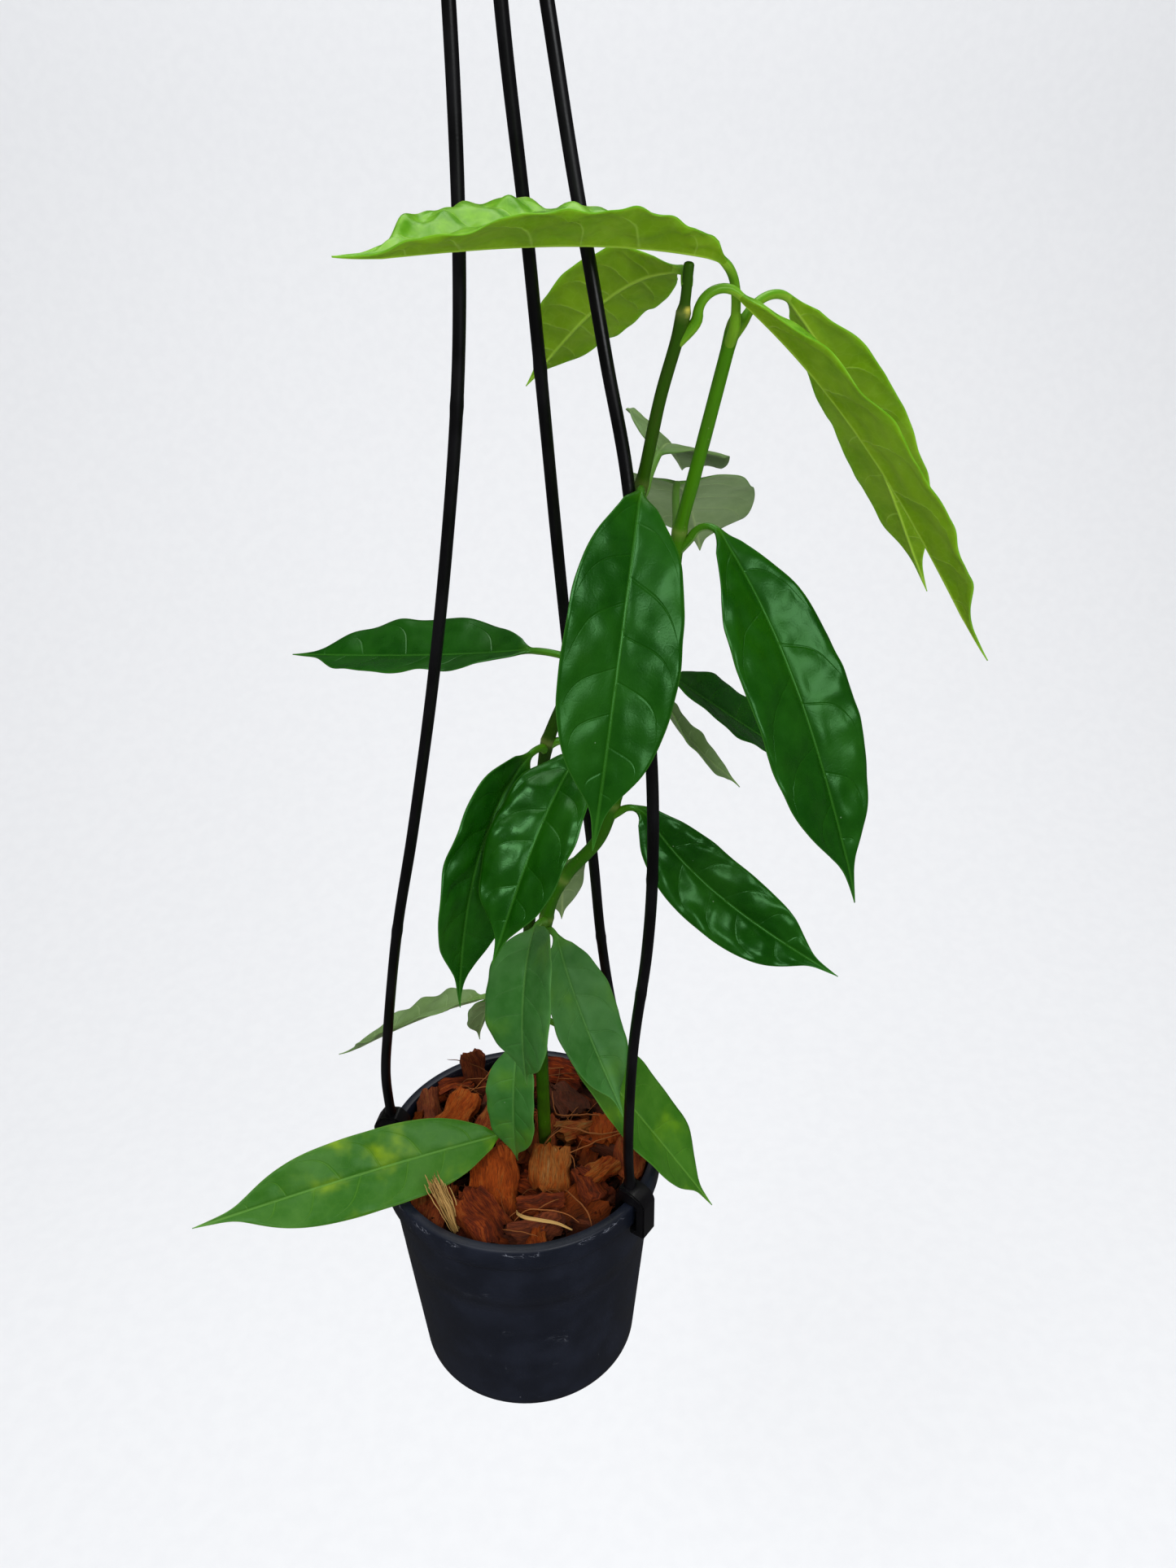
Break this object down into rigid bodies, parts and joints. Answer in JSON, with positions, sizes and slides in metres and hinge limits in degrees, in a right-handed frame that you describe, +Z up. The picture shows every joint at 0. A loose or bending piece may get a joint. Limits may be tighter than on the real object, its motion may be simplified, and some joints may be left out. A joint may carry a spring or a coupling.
{
  "type": "potted hoya plant",
  "caption": "Climbing hoya with waxy pointed leaves, growing in husk chips in a small black nursery pot hung from a plastic strand hanger with a hook.",
  "frame": {"origin": "seat of the hook: the top of the space inside the bend, where the rail or peg that holds the plant up lies", "axes": "+Z up; -Y towards the viewer of the picture, +X to the viewer's right; the pot's axis is x = y = 0"},
  "size_m": [0.2409, 0.1197, 0.5834],
  "materials": {
    "black_plastic": "satin black, slightly scuffed",
    "husk": "rough fibrous coconut husk chips",
    "stem": "smooth green plant stem",
    "leaf": "waxy dark green leaf",
    "young_leaf": "soft olive green leaf"
  },
  "bodies": {
    "root": {"pot": "black_plastic", "husk_bed": "husk", "hanger_hook": "black_plastic", "hanger_strand_left": "black_plastic", "hanger_strand_back": "black_plastic", "hanger_strand_front": "black_plastic", "stem_older": "stem", "stem_younger": "stem", "leaf_01": "leaf", "leaf_02": "leaf", "leaf_03": "leaf", "leaf_04": "leaf", "leaf_05": "leaf", "leaf_06": "leaf", "leaf_07": "leaf", "leaf_08": "leaf", "leaf_09": "leaf", "leaf_10": "leaf", "leaf_11": "leaf", "leaf_12": "leaf", "leaf_13": "leaf", "leaf_14": "leaf", "leaf_15": "leaf", "leaf_16": "leaf", "leaf_17": "leaf", "leaf_18": "leaf", "leaf_19": "young_leaf", "leaf_20": "young_leaf", "leaf_21": "young_leaf", "leaf_22": "young_leaf"}
  },
  "joints": []
}
